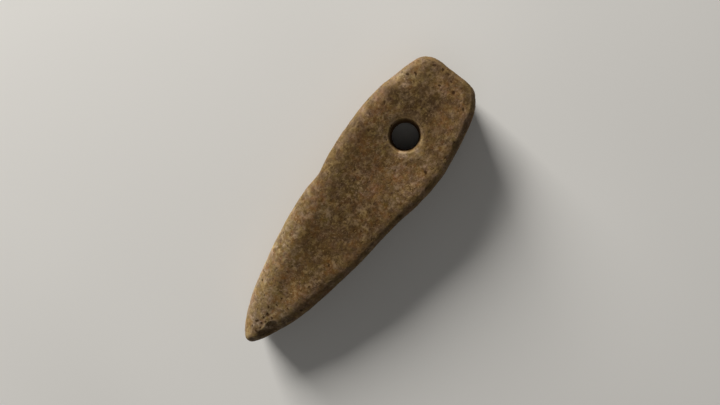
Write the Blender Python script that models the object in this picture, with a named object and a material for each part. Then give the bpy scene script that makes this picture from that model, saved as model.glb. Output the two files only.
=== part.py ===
"""Shaft-hole axe head: one piece of weathered stone, lying on its flat underside.

Metres, +Z up. The shaft hole runs along Z, +X points from the butt to the cutting edge,
and the origin is the middle of the underside of the head's box. The head is a closed
plan outline wrapped by one edge profile: a flat underside, a slightly full side wall, a
broad worn shoulder and a shallow dished top face. The hole, drilled from both faces and
narrowest in the middle, and the old chips are cut from that body.
"""
import math

import bmesh
import bpy
import numpy as np
from mathutils import Vector

# Driving dimensions of the head
LENGTH = 0.240
WIDTH = 0.0723
THICKNESS = 0.043
BUTT_DROP = 0.0045
EDGE_DROP = 0.0085
EDGE_LIFT = 0.0035
EDGE_LIFT_RUN = 0.060
TOP_DISH = 0.0007

# Shaft hole, drilled from both faces, with a worn lip of a width and a depth
HOLE_FROM_BUTT = 0.0525
HOLE_SIDE_OFFSET = -0.0007
BORE_WAIST = 0.0185
BORE_MOUTH = 0.0205
BORE_LIP = (0.0030, 0.0022)
BORE_SIDES = 40
LIP_STEPS = 4

# Worn shoulder between the top face and the wall, width and depth. It is broad on the left
# side and tighter on the right side. The left one grows all the way from the hole to the
# blade, the right one only over the last stretch, whose start and end are measured from the
# cutting edge. The butt and the cutting edge have their own. The shoulder's section is a
# quarter of a superellipse: a power of 2 would make it an ellipse, and 1 a flat bevel.
LEFT_AT_HOLE = (0.0078, 0.0046)
LEFT_AT_BLADE = (0.0170, 0.0092)
RIGHT_AT_HOLE = (0.0070, 0.0052)
RIGHT_AT_BLADE = (0.0112, 0.0092)
BUTT_SHOULDER = (0.0034, 0.0034)
EDGE_SHOULDER = (0.0076, 0.0070)
BLADE_FROM_EDGE = 0.060
RIGHT_GROWTH_FROM_EDGE = (0.100, 0.055)
SHOULDER_POWER = 1.6
SHOULDER_STEPS = 7
FOOT_ROUND = (0.0050, 0.0042)
FOOT_STEPS = 4
WALL_FULLNESS = 0.0007
WALL_STEPS = 4
SHOULDER_SHARE_MAX = 0.78

# Line that the faces close towards, measured from the butt and from the edge
SPINE_FROM_BUTT = 0.036
SPINE_FROM_EDGE = 0.020
FACE_RINGS = (0.22, 0.50, 0.78, 0.94)

# Plan outline, butt to edge: share of the length, share of the half width
POLL = ((0.0020, -0.14), (0.0022, 0.11), (0.0034, 0.32))
RIGHT_SIDE = (
    (0.0090, 0.475), (0.0230, 0.588), (0.0440, 0.688), (0.0710, 0.772), (0.1170, 0.850),
    (0.1750, 0.927), (0.2330, 0.988), (0.2900, 1.000), (0.3500, 0.962), (0.4170, 0.898),
    (0.4750, 0.850), (0.5830, 0.796), (0.6750, 0.721), (0.7670, 0.635), (0.8460, 0.519),
    (0.9080, 0.380), (0.9540, 0.254), (0.9810, 0.152), (0.9962, 0.062),
)
NOSE = (1.0, -0.027)
LEFT_SIDE = (
    (0.0017, -0.363), (0.0075, -0.525), (0.0188, -0.640), (0.0333, -0.710),
    (0.0580, -0.772), (0.1000, -0.848), (0.1500, -0.940), (0.2080, -0.993),
    (0.2750, -1.000), (0.3500, -0.985), (0.4080, -0.948), (0.4540, -0.898),
    (0.5080, -0.922), (0.5830, -0.896), (0.6750, -0.817), (0.7670, -0.706),
    (0.8460, -0.585), (0.9080, -0.454), (0.9540, -0.324), (0.9810, -0.220),
    (0.9962, -0.116),
)
STEPS_PER_SPAN = 3

# Old chips, each a shallow bowl struck from the surface. Place: share of the length, share
# of the half width, depth below the top face. Facing: the way the struck spot looks. Then
# the radius of the bowl and its depth.
CHIPS = {
    "corner_flake": ((0.058, -0.620, 0.0), (0.0, -0.05, 1.0), 0.060, 0.0007),
    "side_ledge": ((0.094, 0.752, 0.0025), (-0.20, 0.66, 0.72), 0.060, 0.0006),
    "side_notch": ((0.406, 0.811, 0.0016), (0.08, 0.58, 0.81), 0.005, 0.0006),
    "edge_facet": ((0.932, 0.125, 0.0022), (0.17, 0.64, 0.75), 0.034, 0.0005),
    "edge_notch": ((0.901, 0.110, 0.0010), (0.10, 0.62, 0.78), 0.0075, 0.0010),
    "nose_facet": ((0.978, 0.060, 0.0026), (0.50, 0.45, 0.74), 0.030, 0.0008),
}
BOWL_SPREAD = 2.2
BOWL_RADIUS_SHARE_MAX = 0.98
BOWL_RINGS = 12
BOWL_SIDES = 28

STONE_COLOUR = (0.165, 0.118, 0.070, 1.0)
STONE_ROUGHNESS = 0.82
SMOOTH_BELOW = math.radians(32.0)


def clear_scene():
    """Remove every object of the open scene."""
    for item in list(bpy.data.objects):
        bpy.data.objects.remove(item, do_unlink=True)


def stone_material():
    """Plain brown stone."""
    material = bpy.data.materials.new("stone")
    material.use_nodes = True
    shader = material.node_tree.nodes["Principled BSDF"]
    shader.inputs["Base Color"].default_value = STONE_COLOUR
    shader.inputs["Roughness"].default_value = STONE_ROUGHNESS
    shader.inputs["Metallic"].default_value = 0.0
    return material


def closed_curve(points, steps):
    """Smooth closed curve through the points, with the same number of steps in each span."""
    before, start = np.roll(points, 1, axis=0), points
    end, after = np.roll(points, -1, axis=0), np.roll(points, -2, axis=0)

    def knot(a, b):
        return np.sqrt(np.linalg.norm(b - a, axis=1))[:, None]

    first, middle, last = knot(before, start), knot(start, end), knot(end, after)
    leave = (end - start) + middle * ((start - before) / first - (end - before) / (first + middle))
    arrive = (end - start) + middle * ((after - end) / last - (after - start) / (middle + last))
    curve = []
    for step in range(steps):
        t = step / steps
        curve.append(
            (2 * t**3 - 3 * t**2 + 1) * start + (t**3 - 2 * t**2 + t) * leave
            + (3 * t**2 - 2 * t**3) * end + (t**3 - t**2) * arrive
        )
    return np.stack(curve, axis=1).reshape(-1, 2)


def plan_outline():
    """Plan outline as x from the butt and y from the middle line, anticlockwise from above."""
    shares = np.array(POLL + RIGHT_SIDE + (NOSE,) + LEFT_SIDE[::-1])[::-1]
    curve = closed_curve(shares * (LENGTH, WIDTH / 2), STEPS_PER_SPAN)
    low, high = curve.min(axis=0), curve.max(axis=0)
    curve = (curve - low) / (high - low) * (LENGTH, WIDTH)
    return curve - (0.0, WIDTH / 2)


def top_height(x):
    """Height of the top face: highest at the hole, falling as a parabola to each end."""
    to_butt = np.clip((HOLE_FROM_BUTT - x) / HOLE_FROM_BUTT, 0.0, 1.0)
    to_edge = np.clip((x - HOLE_FROM_BUTT) / (LENGTH - HOLE_FROM_BUTT), 0.0, 1.0)
    return THICKNESS - BUTT_DROP * to_butt**2 - EDGE_DROP * to_edge**2


def foot_height(x):
    """Height of the underside: flat, and lifting as a parabola near the cutting edge."""
    past = np.clip((x - (LENGTH - EDGE_LIFT_RUN)) / EDGE_LIFT_RUN, 0.0, 1.0)
    return EDGE_LIFT * past**2


def growth(x, start, end):
    """Nought up to the start and one past the end, with a smooth change between."""
    share = np.clip((x - start) / (end - start), 0.0, 1.0)
    return share**2 * (3 - 2 * share)


def side_blend(normals, left, right, butt, edge):
    """Mix four sizes by the way each outline point faces."""
    facing_x, facing_y = normals[:, 0], normals[:, 1]
    return (
        left * np.clip(-facing_y, 0, 1) ** 2 + right * np.clip(facing_y, 0, 1) ** 2
        + butt * np.clip(-facing_x, 0, 1) ** 2 + edge * np.clip(facing_x, 0, 1) ** 2
    )


def edge_profile(outline):
    """Rings of points that wrap the outline, from the underside round to the top face."""
    ahead, behind = np.roll(outline, -1, axis=0), np.roll(outline, 1, axis=0)
    tangent = ahead - behind
    tangent /= np.linalg.norm(tangent, axis=1)[:, None]
    normals = np.column_stack((tangent[:, 1], -tangent[:, 0]))
    spine = np.column_stack((
        np.clip(outline[:, 0], SPINE_FROM_BUTT, LENGTH - SPINE_FROM_EDGE),
        np.zeros(len(outline)),
    ))
    reach = np.linalg.norm(spine - outline, axis=1)
    inward = (spine - outline) / reach[:, None]
    left = growth(outline[:, 0], HOLE_FROM_BUTT, LENGTH - BLADE_FROM_EDGE)
    right = growth(outline[:, 0], *(LENGTH - span for span in RIGHT_GROWTH_FROM_EDGE))
    width, depth = (
        side_blend(
            normals, LEFT_AT_HOLE[size] + left * (LEFT_AT_BLADE[size] - LEFT_AT_HOLE[size]),
            RIGHT_AT_HOLE[size] + right * (RIGHT_AT_BLADE[size] - RIGHT_AT_HOLE[size]),
            BUTT_SHOULDER[size], EDGE_SHOULDER[size],
        )
        for size in (0, 1)
    )
    room = SHOULDER_SHARE_MAX * reach - WALL_FULLNESS
    over = np.minimum(width, room)
    under = np.minimum(FOOT_ROUND[0], room)
    up = FOOT_ROUND[1]

    rings = []

    def add(inset, height):
        rings.append(np.column_stack((outline + inward * inset[:, None], height)))

    def face_ring(share, edge_inset):
        inset = edge_inset + share * (reach - edge_inset)
        return inset, outline[:, 0] + inward[:, 0] * inset

    for share in reversed(FACE_RINGS):
        inset, x = face_ring(share, WALL_FULLNESS + under)
        add(inset, foot_height(x))
    for step in range(FOOT_STEPS + 1):
        turn = math.pi / 2 * (1 - step / FOOT_STEPS)
        inset = WALL_FULLNESS + under * (1 - math.cos(turn))
        x = outline[:, 0] + inward[:, 0] * inset
        add(inset, foot_height(x) + up * (1 - math.sin(turn)))
    for step in range(1, WALL_STEPS):
        share = step / WALL_STEPS
        inset = WALL_FULLNESS * (2 * share - 1) ** 2 * np.ones(len(outline))
        low = foot_height(outline[:, 0]) + up
        high = top_height(outline[:, 0]) - depth
        add(inset, low + share * (high - low))
    for step in range(SHOULDER_STEPS + 1):
        turn = math.pi / 2 * step / SHOULDER_STEPS
        inset = WALL_FULLNESS + over * (1 - abs(math.cos(turn)) ** (2 / SHOULDER_POWER))
        x = outline[:, 0] + inward[:, 0] * inset
        add(inset, top_height(x) - depth * (1 - math.sin(turn) ** (2 / SHOULDER_POWER)))
    for share in FACE_RINGS:
        inset, x = face_ring(share, WALL_FULLNESS + over)
        add(inset, top_height(x) - TOP_DISH * share * (2 - share))
    return rings


def body_mesh():
    """Closed mesh of the head before the hole and the chips are cut."""
    rings = edge_profile(plan_outline())
    count = len(rings[0])
    points = np.concatenate(rings)
    points[:, 0] -= LENGTH / 2
    faces = [tuple(reversed(range(count)))]
    for level in range(len(rings) - 1):
        for step in range(count):
            here, there = level * count + step, level * count + (step + 1) % count
            faces.append((here, there, there + count, here + count))
    faces.append(tuple(range((len(rings) - 1) * count, len(rings) * count)))
    mesh = bpy.data.meshes.new("axe_head")
    mesh.from_pydata(points.tolist(), [], faces)
    shape = bmesh.new()
    shape.from_mesh(mesh)
    bmesh.ops.triangulate(shape, faces=shape.faces[:], quad_method="BEAUTY", ngon_method="BEAUTY")
    bmesh.ops.recalc_face_normals(shape, faces=shape.faces[:])
    shape.to_mesh(mesh)
    shape.free()
    return mesh


def make_cutter(name, shape):
    """Object that only cuts: shown as wire and left out of the model."""
    bmesh.ops.recalc_face_normals(shape, faces=shape.faces[:])
    mesh = bpy.data.meshes.new(name)
    shape.to_mesh(mesh)
    shape.free()
    cutter = bpy.data.objects.new(name, mesh)
    cutter.hide_render = True
    cutter.display_type = "WIRE"
    bpy.context.scene.collection.objects.link(cutter)
    return cutter


def bore_profile():
    """Radius and height down the hole: a worn lip, a cone to the waist, and the same again."""
    mouth, waist = BORE_MOUTH / 2, BORE_WAIST / 2
    lip_width, lip_depth = BORE_LIP
    top = float(top_height(HOLE_FROM_BUTT)) - TOP_DISH
    flare = [
        (mouth + lip_width * (1 - math.cos(turn)), top - lip_depth * (1 - math.sin(turn)))
        for turn in (math.pi / 2 * step / LIP_STEPS for step in range(LIP_STEPS, -1, -1))
    ]
    upper = [(mouth + lip_width, top + lip_depth)] + flare
    lower = [(radius, top - height) for radius, height in reversed(upper)]
    return upper + [(waist, top / 2)] + lower


def bore_cutter():
    """Turned cutter for the shaft hole."""
    shape = bmesh.new()
    rings = []
    for radius, height in bore_profile():
        ring = []
        for side in range(BORE_SIDES):
            turn = 2 * math.pi * side / BORE_SIDES
            x = HOLE_FROM_BUTT - LENGTH / 2 + radius * math.cos(turn)
            y = HOLE_SIDE_OFFSET + radius * math.sin(turn)
            ring.append(shape.verts.new((x, y, height)))
        rings.append(ring)
    for upper, lower in zip(rings, rings[1:]):
        for side in range(BORE_SIDES):
            after = (side + 1) % BORE_SIDES
            shape.faces.new((upper[side], lower[side], lower[after], upper[after]))
    shape.faces.new(rings[0])
    shape.faces.new(reversed(rings[-1]))
    return make_cutter("cut_shaft_hole", shape)


def chip_cutter(name, place, facing, radius, depth):
    """Turned bowl that strikes one old chip, closed well clear of the surface."""
    along, across_share, below = place
    height = float(top_height(along * LENGTH)) - below
    spot = Vector(((along - 0.5) * LENGTH, across_share * WIDTH / 2, height))
    turn = Vector(facing).to_track_quat("Z", "Y")
    widest = min(BOWL_SPREAD * math.sqrt(2 * radius * depth), BOWL_RADIUS_SHARE_MAX * radius)
    profile = []
    for step in range(1, BOWL_RINGS + 1):
        across = widest * step / BOWL_RINGS
        profile.append((across, radius - math.sqrt(radius**2 - across**2) - depth))
    profile.append((widest, profile[-1][1] + widest))
    shape = bmesh.new()
    bottom = shape.verts.new(spot + turn @ Vector((0.0, 0.0, -depth)))
    rings = []
    for across, rise in profile:
        angles = (2 * math.pi * side / BOWL_SIDES for side in range(BOWL_SIDES))
        spots = (Vector((across * math.cos(a), across * math.sin(a), rise)) for a in angles)
        rings.append([shape.verts.new(spot + turn @ local) for local in spots])
    for side in range(BOWL_SIDES):
        after = (side + 1) % BOWL_SIDES
        shape.faces.new((bottom, rings[0][after], rings[0][side]))
        for lower, upper in zip(rings, rings[1:]):
            shape.faces.new((lower[side], lower[after], upper[after], upper[side]))
    shape.faces.new(rings[-1])
    return make_cutter("cut_" + name, shape)


def build():
    """Make the head and cut its hole and chips."""
    clear_scene()
    head = bpy.data.objects.new("axe_head", body_mesh())
    bpy.context.scene.collection.objects.link(head)
    head.data.materials.append(stone_material())
    cutters = [bore_cutter()]
    cutters += [chip_cutter(name, *sizes) for name, sizes in CHIPS.items()]
    for cutter in cutters:
        cut = head.modifiers.new(cutter.name, "BOOLEAN")
        cut.operation = "DIFFERENCE"
        cut.solver = "EXACT"
        cut.object = cutter
    head.data.shade_smooth()
    head.data.set_sharp_from_angle(angle=SMOOTH_BELOW)


build()
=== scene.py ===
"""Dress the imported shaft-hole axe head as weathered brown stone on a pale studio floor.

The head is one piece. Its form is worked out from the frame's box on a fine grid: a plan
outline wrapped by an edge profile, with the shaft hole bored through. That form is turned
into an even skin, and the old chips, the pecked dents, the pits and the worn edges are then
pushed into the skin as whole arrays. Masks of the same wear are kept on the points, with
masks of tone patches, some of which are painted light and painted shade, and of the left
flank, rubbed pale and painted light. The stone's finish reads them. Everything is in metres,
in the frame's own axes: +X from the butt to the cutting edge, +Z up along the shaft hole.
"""
import logging
import math
from dataclasses import dataclass, field
from enum import Enum, IntEnum
from typing import Any

import bpy
import numpy as np
from mathutils import Matrix, Vector
from numpy.typing import NDArray


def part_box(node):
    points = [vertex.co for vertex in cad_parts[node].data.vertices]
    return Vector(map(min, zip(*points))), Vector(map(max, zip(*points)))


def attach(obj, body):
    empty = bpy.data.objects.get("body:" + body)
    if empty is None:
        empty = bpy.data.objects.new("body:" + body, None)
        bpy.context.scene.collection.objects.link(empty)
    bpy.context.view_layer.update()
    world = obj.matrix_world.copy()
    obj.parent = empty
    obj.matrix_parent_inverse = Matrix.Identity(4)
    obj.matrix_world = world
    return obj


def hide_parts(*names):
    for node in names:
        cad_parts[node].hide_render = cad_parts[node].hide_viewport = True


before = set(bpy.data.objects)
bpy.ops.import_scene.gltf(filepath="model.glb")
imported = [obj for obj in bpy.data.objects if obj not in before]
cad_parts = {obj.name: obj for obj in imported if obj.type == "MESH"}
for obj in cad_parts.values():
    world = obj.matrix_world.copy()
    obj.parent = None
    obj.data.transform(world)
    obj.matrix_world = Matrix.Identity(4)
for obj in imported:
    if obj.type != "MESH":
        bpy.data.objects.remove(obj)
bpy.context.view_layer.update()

Floats = NDArray[np.float64]
Ints = NDArray[np.int64]
Pair = tuple[float, float]
Triple = tuple[float, float, float]
Colour = tuple[float, float, float, float]

NODE = "axe_head"
BODY = "root"

# Odd numbers that scramble a lattice place and a seed into a code, and parts of that code.
AXIS_SCRAMBLERS = (73856093, 19349663, 83492791)
SEED_SCRAMBLER = 2654435761
ROUND_SCRAMBLER = 0x45D9F3B
SCRAMBLE_ROUNDS = 2
WORD = 0xFFFFFFFF
HALF_WORD_BITS = 16
BYTE = 0xFF
TEN_BITS = 0x3FF
# Brings slope noise to between about -1 and 1.
SLOPE_GAIN = 1.6
# Stands in for the length of a direction that has none, so that nothing is divided by 0.
TINY = 1e-15

log = logging.getLogger("axe")


class Mask(Enum):
    """Masks of wear, of tone and of painted light and shade, kept on the skin's points for the finish
    to read.
    """

    RELIEF = "relief"
    PITTED = "pitted"
    STRUCK = "struck"
    WORN = "worn"
    PALE_AND_LIT = "pale"
    WARM_AND_LIT = "warm"
    UMBER_AND_SHADE = "umber"


class Pattern(IntEnum):
    """Step from the head's seed to each noise's own seed, so that no two are alike."""

    BROAD_SWELL = 0
    CLOSE_SWELL = 3
    DENT = 7
    SMALL_DENT = 11
    DRIFT = 20
    CHIP = 30
    NICK = 50
    FLANK = 60


class Blend(Enum):
    """Ways in which one colour goes over another."""

    MIX = "MIX"
    MULTIPLY = "MULTIPLY"


class Operation(Enum):
    """Arithmetic that a Math node works out."""

    ADD = "ADD"
    SUBTRACT = "SUBTRACT"
    MULTIPLY = "MULTIPLY"


def smoothstep(low: float, high: float, values: Floats) -> Floats:
    """Rise from 0 to 1 between two values, flat at both ends.

    Args:
        low: Value where the result leaves 0.
        high: Value where the result reaches 1.
        values: What is measured.

    Returns:
        The cubic 3t^2 - 2t^3 of each value's share t of the way.
    """
    share = np.clip((values - low) / (high - low), 0.0, 1.0)
    return share**2 * (3 - 2 * share)


def lattice_code(cells: Ints, seed: int) -> Ints:
    """Scramble whole lattice places into 32-bit codes.

    Args:
        cells: Rows of three whole numbers.
        seed: Keeps one pattern apart from another.

    Returns:
        One code for each row, the same in every run.
    """
    along, across, above = (cells[:, axis] * odd for axis, odd in enumerate(AXIS_SCRAMBLERS))
    code = (along ^ across ^ above ^ seed * SEED_SCRAMBLER) & WORD
    for _ in range(SCRAMBLE_ROUNDS):
        code = ((code ^ (code >> HALF_WORD_BITS)) * ROUND_SCRAMBLER) & WORD
    return code ^ (code >> HALF_WORD_BITS)


def slope_noise(points: Floats, wavelength: float, seed: int) -> Floats:
    """Smooth noise: a random slope at each lattice corner, blended with a quintic ease.

    Args:
        points: Places to measure, as rows of x, y and z.
        wavelength: Size of one lattice cell.
        seed: Keeps one pattern apart from another.

    Returns:
        Values around 0, mostly within -1 and 1.
    """
    scaled = points / wavelength
    base = np.floor(scaled).astype(np.int64)
    part = scaled - base
    ease = part**3 * (part * (part * 6 - 15) + 10)
    total = np.zeros(len(points))
    for corner in np.ndindex(2, 2, 2):
        step = np.array(corner)
        code = lattice_code(base + step, seed)
        slope = np.stack([(code >> shift & BYTE) / (BYTE / 2) - 1 for shift in (0, 8, 16)], axis=1)
        weight = np.prod(np.where(step == 1, ease, 1 - ease), axis=1)
        total += weight * np.einsum("ij,ij->i", slope, part - step)
    return total * SLOPE_GAIN


def layered_noise(points: Floats, wavelength: float, seed: int, layers: int = 3) -> Floats:
    """Sum of smooth noises, each layer half the size and half the strength of the last.

    Args:
        points: Places to measure, as rows of x, y and z.
        wavelength: Size of the broadest layer.
        seed: Keeps one pattern apart from another.
        layers: How many layers are added.

    Returns:
        Values around 0, mostly within -1 and 1.
    """
    strengths = [0.5**layer for layer in range(layers)]
    total = sum(
        strength * slope_noise(points, wavelength * strength, seed + layer)
        for layer, strength in enumerate(strengths)
    )
    return total / math.sqrt(sum(strength**2 for strength in strengths))


def dent_noise(points: Floats, size: float, seed: int) -> Floats:
    """Overlapping round dents: squared distance to the nearest of one random spot per cell.

    Args:
        points: Places to measure, as rows of x, y and z.
        size: Spacing of the dents.
        seed: Keeps one pattern apart from another.

    Returns:
        0 at the bottom of a dent, rising to 1 on the ridges between dents.
    """
    scaled = points / size
    base = np.floor(scaled).astype(np.int64)
    part = scaled - base
    nearest = np.ones(len(points))
    for corner in np.ndindex(3, 3, 3):
        step = np.array(corner) - 1
        code = lattice_code(base + step, seed)
        spot = np.stack([(code >> shift & TEN_BITS) / TEN_BITS for shift in (0, 10, 20)], axis=1)
        nearest = np.minimum(nearest, np.sum((part - step - spot) ** 2, axis=1))
    return nearest


@dataclass
class Skin:
    """Even mesh of four-sided faces, held as arrays.

    Attributes:
        points: Place of each point.
        faces: Four point numbers for each face.
        edges: Two point numbers for each edge.
    """

    points: Floats
    faces: Ints
    edges: Ints

    @classmethod
    def from_object(cls, piece: bpy.types.Object) -> "Skin":
        """Read an object's mesh as its modifiers leave it.

        Args:
            piece: Object whose modifiers end in four-sided faces.

        Returns:
            The mesh as arrays.
        """
        shown = piece.evaluated_get(bpy.context.evaluated_depsgraph_get())
        mesh = shown.to_mesh()
        points = np.empty(len(mesh.vertices) * 3)
        mesh.vertices.foreach_get("co", points)
        faces = np.empty(len(mesh.loops), dtype=np.int64)
        mesh.loops.foreach_get("vertex_index", faces)
        edges = np.empty(len(mesh.edges) * 2, dtype=np.int64)
        mesh.edges.foreach_get("vertices", edges)
        skin = cls(points.reshape(-1, 3), faces.reshape(-1, 4), edges.reshape(-1, 2))
        shown.to_mesh_clear()
        return skin

    def normals(self) -> Floats:
        """Work out the outward direction at each point.

        Returns:
            The cross products of the diagonals of the faces round each point, summed, at
            length 1.
        """
        corners = self.points[self.faces]
        facing = np.cross(corners[:, 2] - corners[:, 0], corners[:, 3] - corners[:, 1])
        owners = self.faces.ravel()
        shares = np.repeat(facing, self.faces.shape[1], axis=0)
        total = np.stack(
            [np.bincount(owners, shares[:, axis], len(self.points)) for axis in range(3)], axis=1
        )
        return total / np.maximum(np.linalg.norm(total, axis=1), TINY)[:, None]

    def averaged(self, values: Floats, rounds: int) -> Floats:
        """Replace each point's values by the mean of its neighbours' values, several times.

        Args:
            values: One row for each point.
            rounds: How many times the mean is taken.

        Returns:
            The smoothed rows.
        """
        here = np.concatenate((self.edges[:, 0], self.edges[:, 1]))
        there = np.concatenate((self.edges[:, 1], self.edges[:, 0]))
        count = np.bincount(here, minlength=len(self.points))
        for _ in range(rounds):
            columns = [np.bincount(here, column[there], len(self.points)) for column in values.T]
            values = np.stack(columns, axis=1) / count[:, None]
        return values

    def proud(self, rounds: int) -> Floats:
        """Height of each point above the skin smoothed by so many rounds: ridges are positive."""
        lift = self.points - self.averaged(self.points, rounds)
        return np.einsum("ij,ij->i", lift, self.normals())

    def push(self, distance: Floats) -> None:
        """Move each point along its own outward direction.

        Args:
            distance: How far each point moves, inwards where it is negative.
        """
        self.points = self.points + self.normals() * distance[:, None]

    def to_object(self, name: str, masks: dict[Mask, Floats]) -> bpy.types.Object:
        """Make the finished object, with a point attribute for each mask.

        Args:
            name: Name of the object and of its mesh.
            masks: Values from 0 to 1 for each point.

        Returns:
            The object, linked to the scene and shaded smooth.
        """
        mesh = bpy.data.meshes.new(name)
        mesh.from_pydata(self.points, [], self.faces.tolist())
        for mask, values in masks.items():
            layer = mesh.attributes.new(mask.value, "FLOAT", "POINT")
            layer.data.foreach_set("value", np.clip(values, 0.0, 1.0).astype(np.float32))
        mesh.shade_smooth()
        piece = bpy.data.objects.new(name, mesh)
        bpy.context.scene.collection.objects.link(piece)
        return piece


@dataclass(frozen=True)
class Chip:
    """Shallow bowl struck from the surface by an old blow.

    Attributes:
        place: Share of the length, share of the half width, depth below the top face.
        facing: The way the struck spot looks.
        radius: Radius of the bowl.
        depth: Depth of the bowl at its middle.
    """

    place: Triple
    facing: Triple
    radius: float
    depth: float


@dataclass(frozen=True)
class Pit:
    """Single pit in the top face.

    Attributes:
        middle: Distance from the butt and from the middle line.
        radius: Radius of the part that shows. The pit fades out a little past it.
    """

    middle: Pair
    radius: float


@dataclass(frozen=True)
class Patch:
    """Round patch of another tone, as seen from above. Some patches are painted light and some
    painted shade.

    Attributes:
        middle: Distance from the butt and from the middle line.
        radius: Distance at which the patch has faded out.
        strength: Mask value in the middle.
    """

    middle: Pair
    radius: float
    strength: float


@dataclass(frozen=True)
class Wear:
    """Sizes of the relief and the wear masks, which only the skin has, and of the patches and the
    flank that paint light and shade.

    A pair of limits says where a smooth step leaves 0 and where it reaches 1. Rounds are
    rounds of averaging, and a share has no unit.
    """

    # Easing of the bare form: all of it, then what looks straight up or down, then the nose.
    first_rounds: int = 2
    level_limits: Pair = (0.90, 0.985)
    level_rounds: int = 16
    nose_limits_from_edge: Pair = (0.016, 0.006)
    nose_upward_limits: Pair = (0.15, 0.50)
    nose_rounds: int = 12
    # Grinding and pecking: where the ground blade begins, sizes and heights of the swells,
    # spacings and depths of the dents, what is off on the blade and more on the wall.
    ground_limits: Pair = (0.08, 0.17)
    broad_swell_size: float = 0.030
    broad_swell_height: float = 0.00018
    close_swell_size: float = 0.011
    close_swell_height: float = 0.00009
    dent_spacing: float = 0.0052
    dent_depth: float = 0.00012
    dent_ground_off: float = 0.00005
    dent_wall_more: float = 0.00016
    small_dent_spacing: float = 0.0026
    small_dent_depth: float = 0.00009
    small_dent_ground_off: float = 0.00003
    dent_mean: float = 0.33
    dent_drift: float = 0.0012
    dent_drift_size: float = 0.006
    # Chips: the worn rim, and how far the bowl wavers and ripples as a share of its depth.
    chip_rim: float = 0.00065
    chip_waver_size: float = 0.0050
    chip_waver: float = 0.34
    chip_ripple_size: float = 0.0011
    chip_ripple: float = 0.03
    chip_seed_step: int = 5
    struck_limits: Pair = (-0.0002, 0.0004)
    # Pits: how many are drawn all over, depth and spread as shares of a pit's radius, the
    # bending of their rims, and how far up the skin looks where it counts as the top face.
    pits_all_over: int = 60
    pit_radius: Pair = (0.0008, 0.0013)
    pit_depth: float = 0.20
    pit_spread: float = 1.1
    pit_drift: float = 0.0010
    pit_drift_size: float = 0.0022
    top_face_upward: float = 0.4
    # Rubbed edges, how deep they are nicked, what share of the rub a nick lacks, and the
    # relief that the stone's tones follow.
    edge_rounds: int = 24
    edge_limits: Pair = (0.00004, 0.00034)
    nick_size: float = 0.0075
    nick_limits: Pair = (0.12, 0.62)
    nick_depth: float = 0.00028
    nick_share_unworn: float = 0.7
    relief_rounds: int = 3
    relief_span: float = 0.00026
    # Patches of tone and of painted light and shade, bent by a share of their radius, and the
    # left flank, rubbed pale and painted light.
    patch_bend: float = 0.45
    patch_bend_size: float = 0.012
    patch_upward_limits: Pair = (-0.2, 0.5)
    flank_rounds: int = 10
    flank_leftward_limits: Pair = (0.05, 0.48)
    flank_upward_limits: Pair = (-0.3, 0.3)
    flank_bend: float = 0.010
    flank_bend_size: float = 0.016
    flank_limits: Pair = (0.090, 0.200)
    flank_share_at_butt: float = 0.10


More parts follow.
